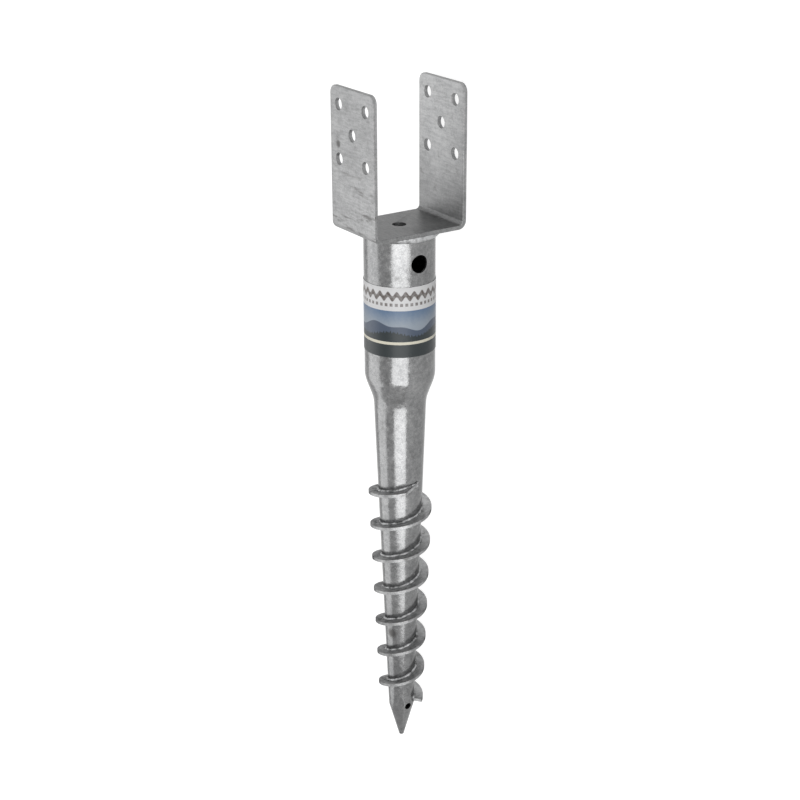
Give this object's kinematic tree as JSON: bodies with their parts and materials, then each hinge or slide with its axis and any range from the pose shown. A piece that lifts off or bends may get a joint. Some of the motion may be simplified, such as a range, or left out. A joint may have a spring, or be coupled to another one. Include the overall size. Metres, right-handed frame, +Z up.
{
  "type": "ground screw",
  "caption": "Galvanised foundation ground screw: a tapered pointed tube with a helical flight and a U-shaped post saddle with bolt holes in its ears, lying on its side.",
  "frame": {"origin": "on the floor, under the centre of the part's bounding box, as it lies at rest", "axes": "+X runs along the screw from its point to the ears, +Y is sideways along the saddle, +Z is up from the floor. The screw lies on the bend of one ear and the rim of its lowest flight, so its axis dips 3.2 degrees towards the point"},
  "size_m": [0.6664, 0.07, 0.1057],
  "materials": {
    "zinc_saddle": "hot-dip galvanised, satin, mottled",
    "zinc_tube": "hot-dip galvanised, semi-bright",
    "zinc_flight": "hot-dip galvanised, mottled",
    "zinc_weld": "galvanised weld bead, slightly rough",
    "label_film": "printed film, satin"
  },
  "bodies": {
    "root": {"saddle_bracket": "zinc_saddle", "tube_shank": "zinc_tube", "helical_flight": "zinc_flight", "saddle_weld": "zinc_weld", "printed_label": "label_film"}
  },
  "joints": []
}
